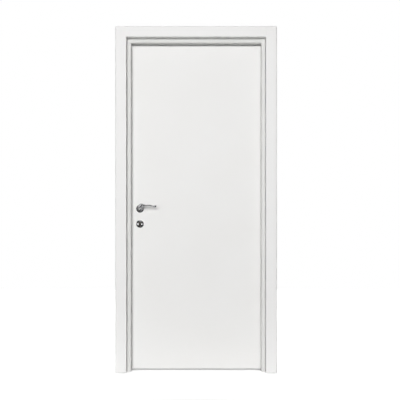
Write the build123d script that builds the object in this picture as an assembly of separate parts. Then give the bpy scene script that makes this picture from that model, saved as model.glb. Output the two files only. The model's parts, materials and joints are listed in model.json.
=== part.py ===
"""Prehung flush door: frame, telescopic casings, seals, leaf, lock, levers and hinges.

Millimetres, Z up. The row origin lies on the wall-side face of the hinge jamb, at floor
level, on the middle plane of the wall. The push side of the door looks towards -Y and the
leaf opens towards +Y, with its hinges at the +X end.
"""
import math
import os
from build123d import *

os.makedirs("parts", exist_ok=True)

# Doorway
WALL = 100.0            # wall thickness between the front and the back casings
CLEAR_WIDTH = 814.0     # between the stops
CLEAR_HEIGHT = 2050.0   # floor to the head stop

# Frame section, measured outwards from the clear opening
FRAME_THICK = 40.0      # stop face to the wall-side face
REBATE = 15.0           # thickness of the planted stop
STOP_DEPTH = 29.0       # depth of the stop, front to back
STOP_EDGE = 4.0         # rounding of the stop's front edge
EDGE_EASE = 1.5         # rounding of the other edges a hand meets
MITRE_INSIDE = 10.0     # how far a mitre's cutter reaches past the section, inside and outside
MITRE_OUTSIDE = 20.0
CUT = 1.0               # how far other cutters run past a face

# Casings
CASING_WIDTH = 68.0
CASING_THICK = 12.0
CASING_OUTER_EDGE = 9.0
CASING_INNER_EDGE = 2.0
REVEAL = 25.0           # stop face to the inner edge of the casing
TONGUE_THICK = 8.0
TONGUE_INSERT = 18.0    # length of tongue inside the frame's groove
GROOVE_SPARE = 6.0      # room left behind the tongue for a thinner wall
GROOVE_MOUTH = 1.5      # slot left open between the tongue and the frame's lip

# Leaf
LEAF_THICK = 40.0
HINGE_GAP = 5.0
LOCK_GAP = 6.5
HEAD_GAP = 5.0
FLOOR_GAP = 6.0
SEAL_GAP = 12.0         # stop face to the front of the leaf
SKIN = 4.0
HINGE_STILE = 42.0
LOCK_STILE = 112.0
RAIL = 60.0

# Seal
SEAL_OFFSET = 6.0       # centre of the bulb from the clear opening
SEAL_HALF = 5.0         # half the width of the bulb
SEAL_WALL = 1.5
SEAL_PLAY = 0.5         # crown of the bulb to the leaf
SEAL_BARB = 3.0
SEAL_BARB_DEPTH = 5.0
SEAL_SLOT_SPARE = 0.5   # room under the barb

# Butt hinges
HINGE_HEIGHT = 100.0
HINGE_LOW = 240.0       # floor to the middle of the low hinge
HINGE_HIGH = 217.0      # top of the leaf down to the middle of the high hinge
KNUCKLES = 5
KNUCKLE_RADIUS = 6.5
KNUCKLE_PLAY = 0.3
PIN_RADIUS = 3.0
PIN_PLAY = 0.06
PIN_OFFSET = 9.0        # pin axis behind the back face of the leaf
PIN_TIP = 3.5
PIN_TIP_EDGE = 2.4
FLAP_THICK = 2.5
FLAP_WIDTH = 30.0
FLAP_CORNER = 5.0

# Lock and strike
BACKSET = 60.0
LEVER_HEIGHT = 1018.0
KEY_DROP = 90.0         # lever axis down to the key axis
PLATE_THICK = 3.0
PLATE_WIDTH = 20.0
PLATE_BELOW = 168.0     # lever axis down to the foot of the faceplate
PLATE_ABOVE = 68.0
PLATE_CORNER = 4.0
CASE_THICK = 15.0
CASE_DEPTH = 88.0
CASE_BELOW = 146.0
CASE_ABOVE = 46.0
CASE_LAP = 1.0          # how far the case runs into its faceplate's back
CASE_PLAY = 0.2         # room round the case in the stile
CASE_SPARE = 1.0        # room behind it
LATCH_RISE = 24.0       # latch and dead bolt heights from the lever axis
LATCH_HEIGHT = 22.0
LATCH_THICK = 11.0
LATCH_NOSE = 4.0        # flat end left on the slanted nose of the latch
LATCH_SLANT = 6.0       # how far the slant runs back
BOLT_DROP = 56.0
BOLT_HEIGHT = 34.0
BOLT_THICK = 10.0
BOLT_LENGTH = 30.0
BOLT_PROUD = 1.2
BOLT_PLAY = 0.4
STRIKE_THICK = 2.5
STRIKE_WIDTH = 24.0
STRIKE_MARGIN = 12.0    # the strike is this much shorter than the faceplate at each end
STRIKE_POCKET = 11.0
STRIKE_ROOM = 2.0       # room round each bolt
STRIKE_LIP = 6.5        # lip that leads the latch in, past the plate's edge
STRIKE_LIP_HEIGHT = 40.0

# Levers, roses and key cylinder
ROSE_RADIUS = 25.0
ROSE_RIM = 5.0          # thickness at the rim
ROSE_EDGE = 2.5
ROSE_COLLAR = 15.5      # radius of the raised collar round the neck
ROSE_HEIGHT = 9.0
COLLAR_EDGE = 1.5
KEY_ROSE_RADIUS = 24.5
KEY_ROSE_RIM = 4.5
KEY_ROSE_HEIGHT = 8.0
KEY_ROSE_DOME = 85.0    # radius of the shallow dome
KEY_ROSE_DROP = 6.5     # key axis down to the middle of its rose
NECK_RADIUS = 9.0
NECK_PLAY = 0.3
NECK_ROOM = 2.0         # room round the neck inside the leaf
SPINDLE = 8.0
SPINDLE_PLAY = 0.05
SPINDLE_ROOM = 0.6      # room round the turning bar in the lock case
SPINDLE_BITE = 28.0     # spindle length inside each lever
CYLINDER_RADIUS = 8.5
CYLINDER_WEB = 5.0
CYLINDER_DROP = 19.5    # key axis down to the centre of the rounded foot
CYLINDER_PROUD = 1.0
CYLINDER_PLAY = 0.3
KEY_ROOM = 1.5          # room round the cylinder in the leaf
KEYWAY = 2.6
KEYWAY_DEPTH = 14.0
KEYWAY_BELOW = 6.4      # keyway below and above the key axis
KEYWAY_ABOVE = 3.0

NECK_LENGTH = 24.0      # straight part of the lever's neck, from the face of the leaf

# Lever stations past the neck: along the door, up from the axis, out from the leaf, and
# half the section's height and depth
LEVER_STATIONS = (
    (0.0, 0.0, 24.0, 9.0, 9.0),
    (0.0, 0.2, 30.0, 9.0, 9.0),
    (1.0, 5.0, 40.0, 11.0, 8.5),
    (7.0, 14.5, 48.5, 13.0, 6.5),
    (18.0, 18.0, 53.0, 10.5, 5.5),
    (34.0, 17.0, 55.0, 6.2, 5.5),
    (54.0, 17.0, 55.0, 4.4, 5.5),
    (75.0, 15.8, 54.5, 4.2, 5.5),
    (94.0, 12.0, 53.0, 4.6, 5.0),
    (107.0, 8.0, 51.5, 3.6, 4.0),
)

# Derived positions
CENTRE = -(CLEAR_WIDTH / 2 + FRAME_THICK)
HALF = CLEAR_WIDTH / 2
WALL_FRONT = -WALL / 2
WALL_BACK = WALL / 2
LEAF_BACK = WALL_BACK
LEAF_FRONT = LEAF_BACK - LEAF_THICK
LEAF_MID = (LEAF_FRONT + LEAF_BACK) / 2
STOP_FACE = LEAF_FRONT - SEAL_GAP
FRAME_FRONT = STOP_FACE - STOP_DEPTH
CASING_FRONT = WALL_FRONT - CASING_THICK
CASING_BACK = WALL_BACK + CASING_THICK
TOP = CLEAR_HEIGHT + REVEAL + CASING_WIDTH
HINGE_EDGE = CENTRE + HALF + REBATE - HINGE_GAP
LOCK_EDGE = CENTRE - HALF - REBATE + LOCK_GAP
LEAF_TOP = CLEAR_HEIGHT + REBATE - HEAD_GAP
HINGE_CENTRES = (HINGE_LOW, (HINGE_LOW + LEAF_TOP - HINGE_HIGH) / 2, LEAF_TOP - HINGE_HIGH)
PIN_X = CENTRE + HALF + REBATE - HINGE_GAP / 2
PIN_Y = LEAF_BACK + PIN_OFFSET
LEVER_X = LOCK_EDGE + BACKSET
KEY_HEIGHT = LEVER_HEIGHT - KEY_DROP
LATCH_HEIGHT_AT = LEVER_HEIGHT + LATCH_RISE
BOLT_HEIGHT_AT = LEVER_HEIGHT - BOLT_DROP


def save(name, shape):
    export_step(shape, f"parts/{name}.step")


def block(x0, x1, y0, y1, z0, z1):
    return Pos((x0 + x1) / 2, (y0 + y1) / 2, (z0 + z1) / 2) * Box(
        abs(x1 - x0), abs(y1 - y0), abs(z1 - z0))


def rod(x, y0, y1, z, radius):
    """A round bar along Y."""
    return Pos(x, (y0 + y1) / 2, z) * Rot(90, 0, 0) * Cylinder(radius, abs(y1 - y0))


def post(x, y, z0, z1, radius):
    """A round bar along Z."""
    return Pos(x, y, (z0 + z1) / 2) * Cylinder(radius, abs(z1 - z0))


def outline(points, rounds=()):
    """A flat section in (outwards, depth), with the named corners rounded."""
    section = make_face(Polyline(*points, close=True))
    for across, depth, radius in rounds:
        corner = section.vertices().sort_by_distance((across, depth, 0))[0]
        section = fillet(corner, radius)
    return section


def run(section, side, length):
    """A section run up the hinge or the lock side from the floor, or across the head."""
    if side == "hinge":
        return extrude(Plane((CENTRE + HALF, 0, 0), (1, 0, 0), (0, 0, 1)) * section, length)
    if side == "lock":
        return extrude(Plane((CENTRE - HALF, 0, length), (-1, 0, 0), (0, 0, -1)) * section, length)
    return extrude(
        Plane((CENTRE + length / 2, 0, CLEAR_HEIGHT), (0, 0, 1), (-1, 0, 0)) * section, length)


def mitred(section, side):
    """A run cut at 45 degrees where the sides meet the head."""
    far = FRAME_THICK + MITRE_OUTSIDE
    near = MITRE_INSIDE
    top = CLEAR_HEIGHT
    if side == "head":
        corners = ((CENTRE - HALF + near, top - near), (CENTRE + HALF - near, top - near),
                   (CENTRE + HALF + far, top + far), (CENTRE - HALF - far, top + far))
        piece = run(section, side, CLEAR_WIDTH + 2 * far)
    else:
        turn = 1 if side == "hinge" else -1
        edge = CENTRE + turn * HALF
        corners = ((edge - turn * near, -near), (edge + turn * far, -near),
                   (edge + turn * far, top + far), (edge - turn * near, top - near))
        piece = run(section, side, top + far)
    keep = extrude(Plane.XZ * make_face(Polyline(*corners, close=True)), WALL * 2, both=True)
    return piece & keep


# Frame: jamb boards with a groove for the casing's tongue, and planted stops
groove_near = REVEAL - GROOVE_MOUTH
groove_far = REVEAL + TONGUE_THICK
groove_floor = FRAME_FRONT + TONGUE_INSERT + GROOVE_SPARE
jamb_section = outline(
    ((REBATE, FRAME_FRONT), (groove_near, FRAME_FRONT), (groove_near, groove_floor),
     (groove_far, groove_floor), (groove_far, FRAME_FRONT), (FRAME_THICK, FRAME_FRONT),
     (FRAME_THICK, WALL_BACK), (REBATE, WALL_BACK)),
    ((groove_near, FRAME_FRONT, EDGE_EASE), (REBATE, WALL_BACK, EDGE_EASE)))
slot_near = SEAL_OFFSET - SEAL_BARB / 2
slot_far = SEAL_OFFSET + SEAL_BARB / 2
slot_floor = STOP_FACE - SEAL_BARB_DEPTH - SEAL_SLOT_SPARE
stop_section = outline(
    ((0, FRAME_FRONT), (REBATE, FRAME_FRONT), (REBATE, STOP_FACE), (slot_far, STOP_FACE),
     (slot_far, slot_floor), (slot_near, slot_floor), (slot_near, STOP_FACE), (0, STOP_FACE)),
    ((0, FRAME_FRONT, STOP_EDGE), (0, STOP_FACE, EDGE_EASE)))
jambs = {side: mitred(jamb_section, side) for side in ("hinge", "lock", "head")}


def flap_plate(x0, x1, y1, centre):
    """A hinge flap's plate from its rounded far corners to y1."""
    plate = block(x0, x1, LEAF_BACK - FLAP_WIDTH, y1,
                  centre - HINGE_HEIGHT / 2, centre + HINGE_HEIGHT / 2)
    return fillet(plate.edges().filter_by(Axis.X).group_by(Axis.Y)[0], FLAP_CORNER)


def strike_shape(x0, x1):
    """The strike's plate, with the lip that leads the latch in."""
    back = LEAF_MID + STRIKE_WIDTH / 2
    plate = block(x0, x1, LEAF_MID - STRIKE_WIDTH / 2, back,
                  LEVER_HEIGHT - PLATE_BELOW + STRIKE_MARGIN,
                  LEVER_HEIGHT + PLATE_ABOVE - STRIKE_MARGIN)
    plate = fillet(plate.edges().filter_by(Axis.X), PLATE_CORNER)
    lip = block(x0, x1, LEAF_MID, back + STRIKE_LIP,
                LATCH_HEIGHT_AT - STRIKE_LIP_HEIGHT / 2, LATCH_HEIGHT_AT + STRIKE_LIP_HEIGHT / 2)
    return plate + fillet(lip.edges().filter_by(Axis.X).group_by(Axis.Y)[-1], PLATE_CORNER)


# Mortises for the hinge flaps, and for the strike with its two pockets
jamb_face = CENTRE + HALF + REBATE
for centre in HINGE_CENTRES:
    jambs["hinge"] -= flap_plate(jamb_face - CUT, jamb_face + FLAP_THICK, WALL_BACK + CUT, centre)
strike_x = CENTRE - HALF - REBATE
strike = strike_shape(strike_x - STRIKE_THICK, strike_x)
jambs["lock"] -= strike_shape(strike_x - STRIKE_THICK, strike_x + CUT)
for height, tall, thick in ((LATCH_HEIGHT_AT, LATCH_HEIGHT, LATCH_THICK),
                            (BOLT_HEIGHT_AT, BOLT_HEIGHT, BOLT_THICK)):
    window = block(strike_x - STRIKE_THICK - STRIKE_POCKET, strike_x + CUT,
                   LEAF_MID - thick / 2 - STRIKE_ROOM, LEAF_MID + thick / 2 + STRIKE_ROOM,
                   height - tall / 2 - STRIKE_ROOM, height + tall / 2 + STRIKE_ROOM)
    strike -= window
    jambs["lock"] -= window
save("strike_plate", strike)
for side, piece in jambs.items():
    save(f"{side}_jamb", piece)
    save(f"{side}_stop", mitred(stop_section, side))


def bulb(half, foot, crown):
    """A seal's D section, standing on its foot with the round crown towards the leaf."""
    centre = crown - half
    legs = Pos(SEAL_OFFSET, (foot + centre) / 2) * Rectangle(2 * half, centre - foot)
    return legs + Pos(SEAL_OFFSET, centre) * Circle(half)


# Rubber seals: a barb pressed into the stop and a hollow bulb towards the leaf
seal_crown = LEAF_FRONT - SEAL_PLAY
seal_section = bulb(SEAL_HALF, STOP_FACE, seal_crown)
seal_section -= bulb(SEAL_HALF - SEAL_WALL, STOP_FACE + SEAL_WALL, seal_crown - SEAL_WALL)
seal_section += outline(
    ((slot_near, STOP_FACE - SEAL_BARB_DEPTH), (slot_far, STOP_FACE - SEAL_BARB_DEPTH),
     (slot_far, STOP_FACE), (slot_near, STOP_FACE)))
for side in ("hinge", "lock", "head"):
    save(f"{side}_seal", mitred(seal_section, side))


def casing(side, face, seat):
    """A casing board; the side boards run full height and the head sits between them."""
    outer = REVEAL + CASING_WIDTH
    if side == "head":
        section = outline(
            ((REVEAL, face), (outer, face), (outer, seat), (REVEAL, seat)),
            ((outer, face, CASING_OUTER_EDGE), (REVEAL, face, CASING_INNER_EDGE)))
        return run(section, side, CLEAR_WIDTH + 2 * REVEAL)
    turn = 1 if side == "hinge" else -1
    near = CENTRE + turn * (HALF + REVEAL)
    edge = CENTRE + turn * (HALF + outer)
    board = block(near, edge, face, seat, 0, TOP)
    at_face = board.faces().sort_by_distance(((near + edge) / 2, face, TOP / 2))[0]
    rounded = [at_face.edges().sort_by_distance((edge, face, TOP / 2))[0],
               at_face.edges().sort_by_distance(((near + edge) / 2, face, TOP))[0],
               board.edges().sort_by_distance((edge, (face + seat) / 2, TOP))[0]]
    board = fillet(rounded, CASING_OUTER_EDGE)
    return fillet(board.edges().sort_by_distance((near, face, TOP / 2))[0], CASING_INNER_EDGE)


tongue_end = FRAME_FRONT + TONGUE_INSERT
tongue_section = outline(
    ((REVEAL, WALL_FRONT), (REVEAL + TONGUE_THICK, WALL_FRONT),
     (REVEAL + TONGUE_THICK, tongue_end), (REVEAL, tongue_end)))
for side in ("hinge", "lock", "head"):
    save(f"{side}_front_casing", casing(side, CASING_FRONT, WALL_FRONT))
    save(f"{side}_back_casing", casing(side, CASING_BACK, WALL_BACK))
    span = CLEAR_WIDTH + 2 * REVEAL
    if side != "head":
        span = CLEAR_HEIGHT + REVEAL + TONGUE_THICK
    save(f"{side}_tongue", run(tongue_section, side, span))

# Leaf: two skins on a perimeter of stiles and rails
inner_front = LEAF_FRONT + SKIN
inner_back = LEAF_BACK - SKIN
front_skin = block(LOCK_EDGE, HINGE_EDGE, LEAF_FRONT, inner_front, FLOOR_GAP, LEAF_TOP)
front_skin = fillet(front_skin.faces().sort_by(Axis.Y)[0].edges(), EDGE_EASE)
back_skin = block(LOCK_EDGE, HINGE_EDGE, inner_back, LEAF_BACK, FLOOR_GAP, LEAF_TOP)
back_skin = fillet(back_skin.faces().sort_by(Axis.Y)[-1].edges(), EDGE_EASE)
hinge_stile = block(HINGE_EDGE - HINGE_STILE, HINGE_EDGE, inner_front, inner_back,
                    FLOOR_GAP, LEAF_TOP)
lock_stile = block(LOCK_EDGE, LOCK_EDGE + LOCK_STILE, inner_front, inner_back,
                   FLOOR_GAP, LEAF_TOP)
for name, low, high in (("top_rail", LEAF_TOP - RAIL, LEAF_TOP),
                        ("bottom_rail", FLOOR_GAP, FLOOR_GAP + RAIL)):
    save(name, block(LOCK_EDGE + LOCK_STILE, HINGE_EDGE - HINGE_STILE,
                     inner_front, inner_back, low, high))
for centre in HINGE_CENTRES:
    mortise = flap_plate(HINGE_EDGE - FLAP_THICK, HINGE_EDGE + CUT, LEAF_BACK + CUT, centre)
    hinge_stile -= mortise
    back_skin -= mortise
save("hinge_stile", hinge_stile)


def profile(grow, y0, y1):
    """The key cylinder's outline: a round head over a narrow web with a rounded foot."""
    body = rod(LEVER_X, y0, y1, KEY_HEIGHT, CYLINDER_RADIUS + grow)
    body += block(LEVER_X - CYLINDER_WEB - grow, LEVER_X + CYLINDER_WEB + grow, y0, y1,
                  KEY_HEIGHT - CYLINDER_DROP, KEY_HEIGHT)
    body += rod(LEVER_X, y0, y1, KEY_HEIGHT - CYLINDER_DROP, CYLINDER_WEB + grow)
    return body


# Mortise lock: case and faceplate in one, with the bolts drawn back
plate_low = LEVER_HEIGHT - PLATE_BELOW
plate_high = LEVER_HEIGHT + PLATE_ABOVE
case_low = LEVER_HEIGHT - CASE_BELOW
case_high = LEVER_HEIGHT + CASE_ABOVE
plate = block(LOCK_EDGE, LOCK_EDGE + PLATE_THICK, LEAF_MID - PLATE_WIDTH / 2,
              LEAF_MID + PLATE_WIDTH / 2, plate_low, plate_high)
plate = fillet(plate.edges().filter_by(Axis.X), PLATE_CORNER)
lock_stile -= plate
lock_case = plate + block(LOCK_EDGE + PLATE_THICK - CASE_LAP, LOCK_EDGE + PLATE_THICK + CASE_DEPTH,
                          LEAF_MID - CASE_THICK / 2, LEAF_MID + CASE_THICK / 2,
                          case_low, case_high)
half_case = CASE_THICK / 2 + CASE_PLAY
lock_stile -= block(LOCK_EDGE - CUT, LOCK_EDGE + PLATE_THICK + CASE_DEPTH + CASE_SPARE,
                    LEAF_MID - half_case, LEAF_MID + half_case,
                    case_low - CASE_PLAY, case_high + CASE_PLAY)
through = (LEAF_FRONT - CUT, LEAF_BACK + CUT)
wide_spindle = rod(LEVER_X, *through, LEVER_HEIGHT, NECK_RADIUS + NECK_ROOM)
wide_key = profile(KEY_ROOM, *through)
front_skin = front_skin - wide_spindle - wide_key
back_skin = back_skin - wide_spindle - wide_key
lock_stile = lock_stile - wide_spindle - wide_key
save("front_skin", front_skin)
save("back_skin", back_skin)
save("lock_stile", lock_stile)
lock_case -= rod(LEVER_X, *through, LEVER_HEIGHT, SPINDLE * math.sqrt(0.5) + SPINDLE_ROOM)
lock_case -= profile(CYLINDER_PLAY, *through)
for name, height, tall, thick in (("latch_bolt", LATCH_HEIGHT_AT, LATCH_HEIGHT, LATCH_THICK),
                                  ("dead_bolt", BOLT_HEIGHT_AT, BOLT_HEIGHT, BOLT_THICK)):
    front = LEAF_MID - thick / 2
    back = LEAF_MID + thick / 2
    bolt = block(LOCK_EDGE - BOLT_PROUD, LOCK_EDGE + BOLT_LENGTH, front, back,
                 height - tall / 2, height + tall / 2)
    if name == "latch_bolt":
        nose = LOCK_EDGE - BOLT_PROUD
        slant = make_face(Polyline((nose - CUT, front - CUT), (nose + LATCH_SLANT, front - CUT),
                                   (nose + LATCH_SLANT, front), (nose, back - LATCH_NOSE),
                                   (nose - CUT, back - LATCH_NOSE), close=True))
        bolt -= Pos(0, 0, height) * extrude(slant, tall, both=True)
    lock_case -= block(LOCK_EDGE - CUT, LOCK_EDGE + BOLT_LENGTH, front - BOLT_PLAY, back + BOLT_PLAY,
                       height - tall / 2 - BOLT_PLAY, height + tall / 2 + BOLT_PLAY)
    save(name, bolt)
save("lock_case", lock_case)

# Key cylinder with a keyway at each end
cylinder_front = LEAF_FRONT - KEY_ROSE_HEIGHT - CYLINDER_PROUD
cylinder_back = LEAF_BACK + KEY_ROSE_HEIGHT + CYLINDER_PROUD
cylinder = profile(0, cylinder_front, cylinder_back)
for end, step in ((cylinder_front, 1), (cylinder_back, -1)):
    cylinder -= block(LEVER_X - KEYWAY / 2, LEVER_X + KEYWAY / 2, end - step * CUT, end + step * KEYWAY_DEPTH,
                      KEY_HEIGHT - KEYWAY_BELOW, KEY_HEIGHT + KEYWAY_ABOVE)
save("key_cylinder", cylinder)


def stepped_rose():
    """The lever's rose on the XY plane: a plate with a rounded rim and a raised collar."""
    section = outline(
        ((0, 0), (ROSE_RADIUS, 0), (ROSE_RADIUS, ROSE_RIM), (ROSE_COLLAR, ROSE_RIM),
         (ROSE_COLLAR, ROSE_HEIGHT), (0, ROSE_HEIGHT)),
        ((ROSE_RADIUS, ROSE_RIM, ROSE_EDGE), (ROSE_COLLAR, ROSE_RIM, COLLAR_EDGE),
         (ROSE_COLLAR, ROSE_HEIGHT, COLLAR_EDGE)))
    return revolve(Plane.XZ * section, Axis.Z) - Cylinder(NECK_RADIUS + NECK_PLAY, 4 * ROSE_HEIGHT)


def domed_rose():
    """The key's rose on the XY plane: a shallow dome that falls to a rounded rim."""
    crown = RadiusArc((0, KEY_ROSE_HEIGHT), (KEY_ROSE_RADIUS, KEY_ROSE_RIM), KEY_ROSE_DOME)
    rim = Polyline((KEY_ROSE_RADIUS, KEY_ROSE_RIM), (KEY_ROSE_RADIUS, 0), (0, 0), (0, KEY_ROSE_HEIGHT))
    section = make_face(crown + rim)
    corner = section.vertices().sort_by_distance((KEY_ROSE_RADIUS, KEY_ROSE_RIM, 0))[0]
    return revolve(Plane.XZ * fillet(corner, ROSE_EDGE), Axis.Z)


# Roses on both faces; the back ones are turned about the leaf's middle plane
lever_rose = Pos(LEVER_X, LEAF_FRONT, LEVER_HEIGHT) * Rot(90, 0, 0) * stepped_rose()
key_rose = Pos(LEVER_X, LEAF_FRONT, KEY_HEIGHT - KEY_ROSE_DROP) * Rot(90, 0, 0) * domed_rose()
key_rose -= profile(CYLINDER_PLAY, LEAF_FRONT - 2 * KEY_ROSE_HEIGHT, LEAF_FRONT + CUT)
mid_plane = Plane((0, LEAF_MID, 0), (1, 0, 0), (0, 1, 0))
save("front_lever_rose", lever_rose)
save("back_lever_rose", mirror(lever_rose, mid_plane))
save("front_key_rose", key_rose)
save("back_key_rose", mirror(key_rose, mid_plane))

# Levers: a neck that leaves the rose square, sweeps up and along, then droops to its tip
centres = [Vector(along, -out, up) for along, up, out, tall, deep in LEVER_STATIONS]
sections = []
for index, (along, up, out, tall, deep) in enumerate(LEVER_STATIONS):
    before = centres[max(index - 1, 0)]
    after = centres[min(index + 1, len(centres) - 1)]
    way = (after - before).normalized() if index > 1 else Vector(0, -1, 0)
    level = Vector(0, 0, 1).cross(way).normalized()
    sections.append(Plane(centres[index], level, way) * Ellipse(deep, tall))
lever = loft(sections) + rod(0, 0, -NECK_LENGTH, 0, NECK_RADIUS)
lever = Pos(LEVER_X, LEAF_FRONT, LEVER_HEIGHT) * lever
half_bar = SPINDLE / 2
spindle = block(LEVER_X - half_bar, LEVER_X + half_bar, LEAF_FRONT - SPINDLE_BITE,
                LEAF_BACK + SPINDLE_BITE, LEVER_HEIGHT - half_bar, LEVER_HEIGHT + half_bar)
socket = half_bar + SPINDLE_PLAY
lever -= block(LEVER_X - socket, LEVER_X + socket, LEAF_FRONT - SPINDLE_BITE, LEAF_FRONT + CUT,
               LEVER_HEIGHT - socket, LEVER_HEIGHT + socket)
save("front_lever", lever)
save("back_lever", mirror(lever, mid_plane))
save("spindle", spindle)


def hinge_flap(centre, near, far, own):
    """One flap of a butt hinge, with its own knuckles and room for the other's."""
    low = centre - HINGE_HEIGHT / 2
    pitch = HINGE_HEIGHT / KNUCKLES
    flap = flap_plate(near, far, PIN_Y, centre)
    for index in range(KNUCKLES):
        z0 = low + index * pitch
        if index % 2 == own:
            trim_low = KNUCKLE_PLAY / 2 if index else 0
            trim_high = KNUCKLE_PLAY / 2 if index < KNUCKLES - 1 else 0
            flap += post(PIN_X, PIN_Y, z0 + trim_low, z0 + pitch - trim_high, KNUCKLE_RADIUS)
        else:
            flap -= post(PIN_X, PIN_Y, z0 - KNUCKLE_PLAY / 2, z0 + pitch + KNUCKLE_PLAY / 2,
                         KNUCKLE_RADIUS + 2 * KNUCKLE_PLAY)
    bore = PIN_RADIUS + (PIN_PLAY if own else PIN_PLAY / 3)
    return flap - post(PIN_X, PIN_Y, low - CUT, low + HINGE_HEIGHT + CUT, bore)


# Hinges: the pin and the outer knuckles stay with the frame
for label, centre in zip(("low", "middle", "high"), HINGE_CENTRES):
    save(f"{label}_hinge_frame_flap",
         hinge_flap(centre, jamb_face, jamb_face + FLAP_THICK, 0))
    save(f"{label}_hinge_leaf_flap",
         hinge_flap(centre, HINGE_EDGE - FLAP_THICK, HINGE_EDGE, 1))
    low = centre - HINGE_HEIGHT / 2
    high = centre + HINGE_HEIGHT / 2
    pin = post(PIN_X, PIN_Y, low, high, PIN_RADIUS)
    for z0, z1 in ((low - PIN_TIP, low), (high, high + PIN_TIP)):
        tip = post(PIN_X, PIN_Y, z0, z1, KNUCKLE_RADIUS)
        rim = tip.edges().filter_by(GeomType.CIRCLE).sort_by(Axis.Z)
        tip = fillet(rim[0] if z0 < low else rim[-1], PIN_TIP_EDGE)
        pin += tip
    save(f"{label}_hinge_pin", pin)
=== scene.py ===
"""A white flush door hung in its frame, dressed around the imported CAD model.

Metres, in the CAD model's own frame: the origin is on the wall-side face of the hinge
jamb at floor level, -Y looks out of the push side and +Z is up.
"""
import json
import math

import bmesh
import bpy
from mathutils import Matrix, Vector


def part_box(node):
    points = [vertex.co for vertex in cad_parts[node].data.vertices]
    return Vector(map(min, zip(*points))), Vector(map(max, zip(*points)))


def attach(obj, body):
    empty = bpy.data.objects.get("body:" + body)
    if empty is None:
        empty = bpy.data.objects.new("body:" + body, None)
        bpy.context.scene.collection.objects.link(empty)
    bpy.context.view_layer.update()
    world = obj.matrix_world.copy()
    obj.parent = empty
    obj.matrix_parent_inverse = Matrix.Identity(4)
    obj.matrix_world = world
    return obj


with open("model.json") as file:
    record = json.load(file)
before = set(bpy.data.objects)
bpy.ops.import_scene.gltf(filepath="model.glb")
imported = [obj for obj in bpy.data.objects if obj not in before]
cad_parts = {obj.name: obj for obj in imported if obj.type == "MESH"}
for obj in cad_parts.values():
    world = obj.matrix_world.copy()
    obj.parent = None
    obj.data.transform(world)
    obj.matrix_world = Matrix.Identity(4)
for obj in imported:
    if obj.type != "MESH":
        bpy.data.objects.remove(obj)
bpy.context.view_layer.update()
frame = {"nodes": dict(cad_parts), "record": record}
nodes = frame["nodes"]
scene = bpy.context.scene
scene.view_settings.view_transform = "Standard"

MM = 0.001
DOOR_CENTRE = -0.447          # middle of the doorway, from the hinge jamb's wall face


def linear(colour):
    """An sRGB hex colour as linear RGBA."""
    channels = [int(colour[i:i + 2], 16) / 255 for i in (1, 3, 5)]
    return tuple(c / 12.92 if c <= 0.04045 else ((c + 0.055) / 1.055) ** 2.4
                 for c in channels) + (1.0,)


def per_metre(size_mm):
    """The texture scale that gives features of a real size."""
    return 1000.0 / size_mm


def add(tree, kind, inputs=None, **settings):
    """One shader node, with its settings, its socket values and its links."""
    made = tree.nodes.new(kind)
    for name, value in settings.items():
        setattr(made, name, value)
    for name, value in (inputs or {}).items():
        if isinstance(value, bpy.types.NodeSocket):
            tree.links.new(value, made.inputs[name])
        else:
            made.inputs[name].default_value = value
    return made


def blank(name):
    """A new material with an empty tree and its output."""
    material = bpy.data.materials.new(name)
    material.use_nodes = True
    material.node_tree.nodes.clear()
    return material, material.node_tree, add(material.node_tree, "ShaderNodeOutputMaterial")


def sprayed_lacquer(name, colour, shade):
    """Satin polyurethane lacquer sprayed on fibreboard: an even white with a soft sheen, a
    faint orange peel and slow drifts of tone where the coats overlap."""
    material, tree, out = blank(name)
    place = add(tree, "ShaderNodeTexCoord").outputs["Object"]
    drift = add(tree, "ShaderNodeTexNoise",
                {"Vector": place, "Scale": per_metre(320), "Detail": 2.0, "Roughness": 0.4})
    tone = add(tree, "ShaderNodeMix", {"Factor": drift.outputs["Fac"]}, data_type="RGBA")
    tone.inputs["A"].default_value = linear(shade)
    tone.inputs["B"].default_value = linear(colour)
    # Real orange peel is about 1.5 mm; it is drawn at 4 mm so that a close view shows it
    peel = add(tree, "ShaderNodeTexNoise",
               {"Vector": place, "Scale": per_metre(4), "Detail": 1.0, "Roughness": 0.3})
    gloss = add(tree, "ShaderNodeMapRange",
                {"Value": peel.outputs["Fac"], "From Min": 0.3, "From Max": 0.7,
                 "To Min": 0.48, "To Max": 0.56})
    bump = add(tree, "ShaderNodeBump",
               {"Height": peel.outputs["Fac"], "Strength": 0.12, "Distance": 0.05 * MM})
    shader = add(tree, "ShaderNodeBsdfPrincipled",
                 {"Base Color": tone.outputs["Result"], "Roughness": gloss.outputs["Result"],
                  "Normal": bump.outputs["Normal"], "IOR": 1.5})
    tree.links.new(shader.outputs["BSDF"], out.inputs["Surface"])
    return material


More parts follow.
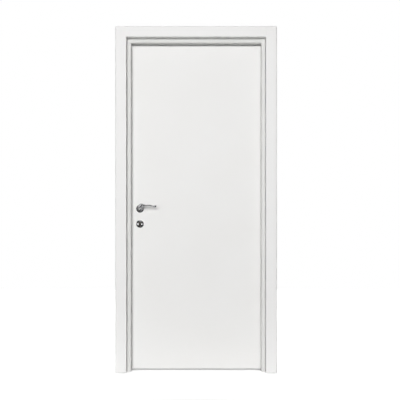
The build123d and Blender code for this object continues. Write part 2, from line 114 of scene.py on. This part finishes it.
def brushed_metal(name, colour, shade, stretch, roughness):
    """Plated metal brushed along one way: fine lines that break the highlight up."""
    material, tree, out = blank(name)
    place = add(tree, "ShaderNodeTexCoord").outputs["Object"]
    along = add(tree, "ShaderNodeMapping", {"Vector": place, "Scale": stretch})
    # Real brush lines are about 0.1 mm; they are drawn at 0.5 mm so that they show
    lines = add(tree, "ShaderNodeTexNoise",
                {"Vector": along.outputs["Vector"], "Scale": per_metre(0.5), "Detail": 2.0})
    tone = add(tree, "ShaderNodeMix", {"Factor": lines.outputs["Fac"]}, data_type="RGBA")
    tone.inputs["A"].default_value = linear(shade)
    tone.inputs["B"].default_value = linear(colour)
    gloss = add(tree, "ShaderNodeMapRange",
                {"Value": lines.outputs["Fac"], "From Min": 0.3, "From Max": 0.7,
                 "To Min": roughness - 0.03, "To Max": roughness + 0.04})
    bump = add(tree, "ShaderNodeBump",
               {"Height": lines.outputs["Fac"], "Strength": 0.06, "Distance": 0.02 * MM})
    shader = add(tree, "ShaderNodeBsdfPrincipled",
                 {"Base Color": tone.outputs["Result"], "Roughness": gloss.outputs["Result"],
                  "Normal": bump.outputs["Normal"], "Metallic": 1.0})
    tree.links.new(shader.outputs["BSDF"], out.inputs["Surface"])
    return material


def bright_plate(name, colour, shade, roughness):
    """Chrome or nickel plated on buffed metal: a mirror with a faint haze, soft polishing
    streaks, and the slight waviness that buffing leaves in its reflections."""
    material, tree, out = blank(name)
    place = add(tree, "ShaderNodeTexCoord").outputs["Object"]
    haze = add(tree, "ShaderNodeTexNoise",
               {"Vector": place, "Scale": per_metre(14), "Detail": 3.0})
    tone = add(tree, "ShaderNodeMix", {"Factor": haze.outputs["Fac"]}, data_type="RGBA")
    tone.inputs["A"].default_value = linear(shade)
    tone.inputs["B"].default_value = linear(colour)
    along = add(tree, "ShaderNodeMapping", {"Vector": place, "Scale": (0.1, 1.0, 1.0)})
    # Real polishing streaks are about 0.05 mm; they are drawn at 0.6 mm so that they show
    streaks = add(tree, "ShaderNodeTexNoise",
                  {"Vector": along.outputs["Vector"], "Scale": per_metre(0.6), "Detail": 2.0})
    gloss = add(tree, "ShaderNodeMapRange",
                {"Value": streaks.outputs["Fac"], "From Min": 0.3, "From Max": 0.7,
                 "To Min": roughness - 0.015, "To Max": roughness + 0.015})
    bump = add(tree, "ShaderNodeBump",
               {"Height": haze.outputs["Fac"], "Strength": 0.2, "Distance": 0.05 * MM})
    shader = add(tree, "ShaderNodeBsdfPrincipled",
                 {"Base Color": tone.outputs["Result"], "Roughness": gloss.outputs["Result"],
                  "Normal": bump.outputs["Normal"], "Metallic": 1.0})
    tree.links.new(shader.outputs["BSDF"], out.inputs["Surface"])
    return material


def moulded_rubber(name, colour):
    """Extruded thermoplastic rubber: matt black, with a fine grain that dulls its sheen."""
    material, tree, out = blank(name)
    place = add(tree, "ShaderNodeTexCoord").outputs["Object"]
    grain = add(tree, "ShaderNodeTexNoise",
                {"Vector": place, "Scale": per_metre(1.2), "Detail": 2.0})
    gloss = add(tree, "ShaderNodeMapRange",
                {"Value": grain.outputs["Fac"], "To Min": 0.7, "To Max": 0.9})
    bump = add(tree, "ShaderNodeBump",
               {"Height": grain.outputs["Fac"], "Strength": 0.15, "Distance": 0.05 * MM})
    shader = add(tree, "ShaderNodeBsdfPrincipled",
                 {"Base Color": linear(colour), "Roughness": gloss.outputs["Result"],
                  "Normal": bump.outputs["Normal"], "IOR": 1.52})
    tree.links.new(shader.outputs["BSDF"], out.inputs["Surface"])
    return material


UPRIGHT_BRUSH = (1, 1, 0.015)  # lines drawn out along the height of the door
finishes = {
    # The frame's lacquer is drawn greyer than the casing's and the leaf's: painted shade for the frame
    # recessed behind the casings.
    "frame_paint": sprayed_lacquer("frame_lacquer_painted_shade", "#dadad8", "#d6d6d4"),
    "casing_paint": sprayed_lacquer("casing_lacquer", "#eeeeed", "#ecebea"),
    "leaf_paint": sprayed_lacquer("leaf_lacquer", "#eeeeed", "#ebeae8"),
    "seal_rubber": moulded_rubber("seal_rubber", "#1b1b1b"),
    "polished_chrome": bright_plate("polished_chrome", "#c6c6c7", "#bcbcbe", 0.1),
    "cylinder_nickel": bright_plate("cylinder_nickel", "#b5b1aa", "#a7a39c", 0.14),
    "lock_steel": brushed_metal("lock_steel", "#b4b3b0", "#a9a8a6", UPRIGHT_BRUSH, 0.34),
    "hinge_steel": brushed_metal("hinge_steel", "#b3b0aa", "#aaa7a1", UPRIGHT_BRUSH, 0.3),
}
for entry in frame["record"]["subparts"]:
    mesh = nodes[entry["node"]].data
    mesh.materials.clear()
    mesh.materials.append(finishes[entry["material_slot"]])


def join_rings(bm, upper, lower):
    """A band of faces between two rings of equal length."""
    for index in range(len(upper)):
        after = (index + 1) % len(upper)
        bm.faces.new((upper[index], upper[after], lower[after], lower[index]))


def sunk_head(bm, place, rings, socket, depth, taper, sides=36):
    """A round metal head with a socket sunk in its face. The rings run from the edge of the
    face down to the hidden end; all lengths are millimetres, turned to metres by place."""
    turns = [2 * math.pi * index / sides for index in range(sides)]
    loops = []
    for radius, height in rings:
        points = [Vector((radius * math.cos(turn), radius * math.sin(turn), height)) for turn in turns]
        loops.append([bm.verts.new(place @ point) for point in points])
    face = rings[0][1]
    mouth = [bm.verts.new(place @ Vector((x, y, face))) for x, y in socket]
    bottom = [bm.verts.new(place @ Vector((x * taper, y * taper, face - depth)))
              for x, y in socket]
    for upper, lower in zip(loops, loops[1:]):
        join_rings(bm, upper, lower)
    join_rings(bm, mouth, bottom)
    bm.faces.new(loops[-1])
    floor = bm.faces.new(bottom)
    bmesh.ops.triangulate(bm, faces=[floor])
    edges = [bm.edges.get((ring[index - 1], ring[index]))
             for ring in (loops[0], mouth) for index in range(len(ring))]
    bmesh.ops.triangle_fill(bm, use_beauty=True, use_dissolve=False, edges=edges)


def seat(point, normal, turn_deg):
    """A place on the object: millimetres about a point in metres, with its Z out of the face."""
    facing = Vector(normal).to_track_quat("Z", "Y").to_matrix().to_4x4()
    return (Matrix.Translation(point) @ facing @ Matrix.Rotation(math.radians(turn_deg), 4, "Z")
            @ Matrix.Scale(MM, 4))


SHARP_EDGE = math.radians(30)  # faces that meet at more than this keep a crisp edge


def metal_piece(name, bm, body, slot):
    """The finished mesh as a piece that rides on a body and takes a slot's finish."""
    bmesh.ops.recalc_face_normals(bm, faces=bm.faces)
    mesh = bpy.data.meshes.new(name)
    bm.to_mesh(mesh)
    bm.free()
    mesh.shade_smooth()
    mesh.set_sharp_from_angle(angle=SHARP_EDGE)
    mesh.materials.append(finishes[slot])
    made = bpy.data.objects.new(name, mesh)
    scene.collection.objects.link(made)
    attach(made, body)


def cross_socket(half_length, half_width):
    """The outline of a cross recess."""
    far, near = half_length, half_width
    return ((far, -near), (far, near), (near, near), (near, far), (-near, far), (-near, near),
            (-far, near), (-far, -near), (-near, -near), (-near, -far), (near, -far), (near, -near))


# Countersunk screws, sunk in their plates with their faces up to a quarter of a millimetre proud
HINGE_SCREW = ((3.5, 0.25), (3.9, 0.12), (4.0, -0.1), (2.0, -2.0))
LOCK_SCREW = ((3.0, 0.2), (3.35, 0.1), (3.45, -0.1), (1.8, -1.8))
HINGE_CROSS = cross_socket(2.1, 0.55)
LOCK_CROSS = cross_socket(1.8, 0.48)
CROSS_TAPER = 0.7
CROSS_DEPTH = 1.1
SCREW_TURNS = (12, 71, 38, 55)
FLAP_FACES = {"frame": (-25.0 * MM, (-1, 0, 0)), "leaf": (-30.0 * MM, (1, 0, 0))}
FLAP_SCREWS = ((-37, 21), (-12.5, 9), (12.5, 9), (37, 21))   # up from the middle, in from the edge
for label in ("low", "middle", "high"):
    for body, (face_x, normal) in FLAP_FACES.items():
        low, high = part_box(f"{label}_hinge_{body}_flap")
        bm = bmesh.new()
        for (up, inset), turn in zip(FLAP_SCREWS, SCREW_TURNS):
            place = seat(Vector((face_x, low.y + inset * MM, (low.z + high.z) / 2 + up * MM)),
                         normal, turn)
            sunk_head(bm, place, HINGE_SCREW, HINGE_CROSS, CROSS_DEPTH, CROSS_TAPER)
        metal_piece(f"{label}_hinge_{body}_screws", bm, body, "hinge_steel")

# Screws at the ends of the lock's faceplate and of the strike
PLATE_SCREW_INSET = 10 * MM
STRIKE_HALF_WIDTH = 12 * MM
FACEPLATE_TURNS = (20, 64)     # of the low and the high screw
STRIKE_TURNS = (33, 8)
low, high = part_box("lock_case")
bm = bmesh.new()
for z, turn in zip((low.z + PLATE_SCREW_INSET, high.z - PLATE_SCREW_INSET), FACEPLATE_TURNS):
    place = seat(Vector((low.x, (low.y + high.y) / 2, z)), (-1, 0, 0), turn)
    sunk_head(bm, place, LOCK_SCREW, LOCK_CROSS, CROSS_DEPTH, CROSS_TAPER)
metal_piece("faceplate_screws", bm, "leaf", "lock_steel")
low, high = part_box("strike_plate")
bm = bmesh.new()
for z, turn in zip((low.z + PLATE_SCREW_INSET, high.z - PLATE_SCREW_INSET), STRIKE_TURNS):
    place = seat(Vector((high.x, low.y + STRIKE_HALF_WIDTH, z)), (1, 0, 0), turn)
    sunk_head(bm, place, LOCK_SCREW, LOCK_CROSS, CROSS_DEPTH, CROSS_TAPER)
metal_piece("strike_screws", bm, "frame", "lock_steel")

# The turning plug in each end of the key cylinder, with its stepped keyway
PLUG = ((6.3, 0.4), (6.7, 0.3), (6.8, -0.2), (5.2, -13.0))
CYLINDER_RADIUS = 8.5 * MM
KEYWAY = ((-0.9, -5.4), (0.3, -5.4), (0.3, -3.2), (1.0, -3.2), (1.0, -0.6), (0.4, -0.6),
          (0.4, 2.4), (-0.7, 2.4), (-0.7, 0.4), (-0.2, 0.4), (-0.2, -2.2), (-0.9, -2.2))
KEYWAY_DEPTH = 12.0
low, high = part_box("key_cylinder")
key_axis = ((low.x + high.x) / 2, high.z - CYLINDER_RADIUS)
for side, y, normal in (("front", low.y, (0, -1, 0)), ("back", high.y, (0, 1, 0))):
    bm = bmesh.new()
    place = seat(Vector((key_axis[0], y, key_axis[1])), normal, 0)
    sunk_head(bm, place, PLUG, KEYWAY, KEYWAY_DEPTH, 1.0)
    metal_piece(f"{side}_key_plug", bm, "leaf", "cylinder_nickel")

# A hexagon grub screw under each lever's neck, which grips the spindle
GRUB = ((2.2, 0.1), (2.45, -0.1), (2.5, -0.6), (2.5, -4.0))
GRUB_KEY = 1.45                # middle to corner of the hexagon
GRUB_SOCKET = [(GRUB_KEY * math.cos(math.radians(turn)), GRUB_KEY * math.sin(math.radians(turn)))
               for turn in range(0, 360, 60)]
GRUB_DEPTH = 2.0
NECK_RADIUS = 9 * MM
GRUB_OUT = 6.5 * MM            # from the rose's face out to the grub screw
for side, way in (("front", -1), ("back", 1)):
    low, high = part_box(f"{side}_lever_rose")
    face_y = low.y if side == "front" else high.y
    point = Vector(((low.x + high.x) / 2, face_y + way * GRUB_OUT,
                    (low.z + high.z) / 2 - NECK_RADIUS))
    bm = bmesh.new()
    sunk_head(bm, seat(point, (0, 0, -1), 0), GRUB, GRUB_SOCKET, GRUB_DEPTH, 1.0)
    metal_piece(f"{side}_grub_screw", bm, "levers", "lock_steel")


def seen_white(tree):
    """One where the camera, a reflection or a clear material looks, and nought elsewhere."""
    path = add(tree, "ShaderNodeLightPath")
    seen = add(tree, "ShaderNodeMath", {0: path.outputs["Is Camera Ray"],
                                        1: path.outputs["Is Glossy Ray"]}, operation="MAXIMUM")
    return add(tree, "ShaderNodeMath", {0: seen.outputs["Value"],
                                        1: path.outputs["Is Transmission Ray"]}, operation="MAXIMUM")


def stage_sheet(name, corners, material):
    """A flat sheet of the stage, such as the floor."""
    mesh = bpy.data.meshes.new(name)
    mesh.from_pydata(corners, [], [range(len(corners))])
    mesh.materials.append(material)
    made = bpy.data.objects.new(name, mesh)
    scene.collection.objects.link(made)
    return made


# Stage: a pale floor, bleached towards the white surround except close round the door's foot, where
# ambient occlusion takes the white lift away as a painted contact shade
REACH = 4.6                    # from the middle of the floor to its edges
FLOOR_LEVEL = -0.0006
FLOOR_LIFT = 0.74              # white added where the floor is seen
CONTACT = 0.04                 # how far from the door's foot ambient occlusion fades the white lift: painted contact shade
floor_material, tree, out = blank("pale_floor")
# Ambient occlusion takes the white lift off the floor round the door's foot: a painted contact shade.
foot_occlusion = add(tree, "ShaderNodeAmbientOcclusion", {"Distance": CONTACT})
white = add(tree, "ShaderNodeMath", {0: seen_white(tree).outputs["Value"], 1: foot_occlusion.outputs["AO"]},
            operation="MULTIPLY")
lift = add(tree, "ShaderNodeMath", {0: white.outputs["Value"], 1: FLOOR_LIFT},
           operation="MULTIPLY")
matt = add(tree, "ShaderNodeBsdfDiffuse", {"Color": linear("#cfcfcf")})
glow = add(tree, "ShaderNodeEmission", {"Strength": lift.outputs["Value"]})
both = add(tree, "ShaderNodeAddShader", {0: matt.outputs["BSDF"], 1: glow.outputs["Emission"]})
tree.links.new(both.outputs["Shader"], out.inputs["Surface"])
stage_sheet("floor", [(DOOR_CENTRE + x * REACH, y * REACH, FLOOR_LEVEL)
                      for x, y in ((-1, -1), (1, -1), (1, 1), (-1, 1))], floor_material)

# A dark studio round the white floor. Its sheets stay out of the picture and let the lamps through:
# bright metal shows them as its dark side, lifted by a faint glow that only reflections see (a painted
# reflection), and they keep stray light off the edges that turn away
ROOM_HALF = 2.7
ROOM_TOP = 4.2
ROOM_DEPTH = 7.5               # from the door to the front and the back of the studio
OPEN_SIDE = 3.0                # the sides are open to the white surround next to the door
MAT_GAP = 0.5                  # bare floor between the door and the dark mats
ROOM_REFLECTION_GLOW = 0.1               # a faint glow that only reflections see: a painted reflection in the metal
room_material, tree, out = blank("dark_studio")
matt = add(tree, "ShaderNodeBsdfDiffuse", {"Color": linear("#242426")})
# The sheets glow faintly for reflections only: a painted reflection.
reflection_glow = add(tree, "ShaderNodeMath", {0: add(tree, "ShaderNodeLightPath").outputs["Is Glossy Ray"],
                                     1: ROOM_REFLECTION_GLOW}, operation="MULTIPLY")
glow = add(tree, "ShaderNodeEmission", {"Strength": reflection_glow.outputs["Value"]})
both = add(tree, "ShaderNodeAddShader", {0: matt.outputs["BSDF"], 1: glow.outputs["Emission"]})
tree.links.new(both.outputs["Shader"], out.inputs["Surface"])
left = DOOR_CENTRE - ROOM_HALF
right = DOOR_CENTRE + ROOM_HALF
dark_sheets = {
    "wall": [(left, ROOM_DEPTH, 0), (right, ROOM_DEPTH, 0),
             (right, ROOM_DEPTH, ROOM_TOP), (left, ROOM_DEPTH, ROOM_TOP)],
    "ceiling": [(left, 0, ROOM_TOP), (right, 0, ROOM_TOP),
                (right, ROOM_DEPTH, ROOM_TOP), (left, ROOM_DEPTH, ROOM_TOP)],
    "left": [(left, OPEN_SIDE, 0), (left, ROOM_DEPTH, 0),
             (left, ROOM_DEPTH, ROOM_TOP), (left, OPEN_SIDE, ROOM_TOP)],
    "right": [(right, OPEN_SIDE, 0), (right, ROOM_DEPTH, 0),
              (right, ROOM_DEPTH, ROOM_TOP), (right, OPEN_SIDE, ROOM_TOP)],
    "mat": [(left, MAT_GAP, 0), (right, MAT_GAP, 0),
            (right, ROOM_DEPTH, 0), (left, ROOM_DEPTH, 0)],
}

# White cards that glow, seen only in the metal, where they make painted highlights: a wide one
# overhead and a small bright one each side of the camera
OVERHEAD = 3.0                 # height of the wide card
CARD_FOOT = 0.68               # heights of the small cards' lower and upper edges
CARD_TOP = 1.42
card_glow = {"overhead_card": 0.75, "left_card": 3.0, "right_card": 3.0}
card_sheets = {
    "overhead_card": [(-1.9, 0, OVERHEAD), (0.9, 0, OVERHEAD),
                      (0.9, 4.6, OVERHEAD), (-1.9, 4.6, OVERHEAD)],
    "left_card": [(-2.98, 3.92, CARD_FOOT), (-2.42, 4.48, CARD_FOOT),
                  (-2.42, 4.48, CARD_TOP), (-2.98, 3.92, CARD_TOP)],
    "right_card": [(-0.44, 5.0, CARD_FOOT), (0.29, 5.0, CARD_FOOT),
                   (0.29, 5.0, CARD_TOP), (-0.44, 5.0, CARD_TOP)],
}
card_finishes = {}
for name, strength in card_glow.items():
    card_finishes[name], tree, out = blank(name)
    glow = add(tree, "ShaderNodeEmission", {"Strength": strength})
    tree.links.new(glow.outputs["Emission"], out.inputs["Surface"])

# The studio and its cards stand in front of the door and, mirrored, behind it
for side, way in (("front", -1), ("back", 1)):
    for name, corners in dark_sheets.items():
        placed = [(x, y * way, z) for x, y, z in corners]
        sheet = stage_sheet(f"{side}_studio_{name}", placed, room_material)
        sheet.visible_camera = False
        sheet.visible_shadow = False
    for name, corners in card_sheets.items():
        placed = [(x, y * way, z) for x, y, z in corners]
        card = stage_sheet(f"{side}_{name}", placed, card_finishes[name])
        card.visible_camera = False
        card.visible_diffuse = False
        card.visible_shadow = False

# World: white where it is seen, a lower even light elsewhere
AMBIENT = 0.1
world = bpy.data.worlds.new("white_surround")
scene.world = world
world.use_nodes = True
tree = world.node_tree
tree.nodes.clear()
level = add(tree, "ShaderNodeMapRange", {"Value": seen_white(tree).outputs["Value"],
                                         "To Min": AMBIENT, "To Max": 1.0})
surround = add(tree, "ShaderNodeBackground", {"Strength": level.outputs["Result"]})
surround.inputs["Color"].default_value = (1, 1, 1, 1)
add(tree, "ShaderNodeOutputWorld", {"Surface": surround.outputs["Background"]})


LAMP_AIM = Vector((DOOR_CENTRE, 0, 1.07))


def lamp(name, left_deg, up_deg, distance, size, watts):
    """A square soft light aimed at the middle of the door; the metal shows the cards instead."""
    data = bpy.data.lights.new(name, "AREA")
    data.size = size
    data.energy = watts
    turn = math.radians(left_deg)
    rise = math.radians(up_deg)
    way = Vector((-math.sin(turn) * math.cos(rise), -math.cos(turn) * math.cos(rise),
                  math.sin(rise)))
    made = bpy.data.objects.new(name, data)
    made.location = LAMP_AIM + way * distance
    made.rotation_euler = (-way).to_track_quat("-Z", "Y").to_euler()
    made.visible_glossy = False
    scene.collection.objects.link(made)


lamp("key_light", 10, 10, 7.0, 3.0, 358)
lamp("fill_light", -8, 8, 6.0, 1.2, 85)
lamp("back_light", 188, 20, 7.0, 3.0, 165)
lamp("top_light", 180, 48, 5.0, 2.0, 95)
lamp("left_light", 140, 15, 6.0, 2.0, 110)
lamp("right_light", -140, 15, 6.0, 2.0, 110)

# Camera: square to the door and lower than its middle, as the frame's returns show
STAND_OFF = 2.75              # camera to the front of the casings
VIEW_WIDTH = 2.4676           # width of the picture at the front of the casings
CASING_FRONT = -0.062
EYE_ASIDE = 0.040             # right of the doorway's middle
EYE_HEIGHT = 0.814
PICTURE_ASIDE = 0.0243        # the middle of the picture, shifted from the eye
PICTURE_HEIGHT = 1.067
eye = Vector((DOOR_CENTRE + EYE_ASIDE, CASING_FRONT - STAND_OFF, EYE_HEIGHT))
middle = Vector((DOOR_CENTRE + PICTURE_ASIDE, 0, PICTURE_HEIGHT))
camera_data = bpy.data.cameras.new("camera")
camera_data.lens = camera_data.sensor_width * STAND_OFF / VIEW_WIDTH
camera_data.shift_x = (middle.x - eye.x) / VIEW_WIDTH
camera_data.shift_y = (middle.z - eye.z) / VIEW_WIDTH
camera = bpy.data.objects.new("camera", camera_data)
camera.location = eye
camera.rotation_euler = (math.radians(90), 0, 0)
scene.collection.objects.link(camera)
scene.camera = camera
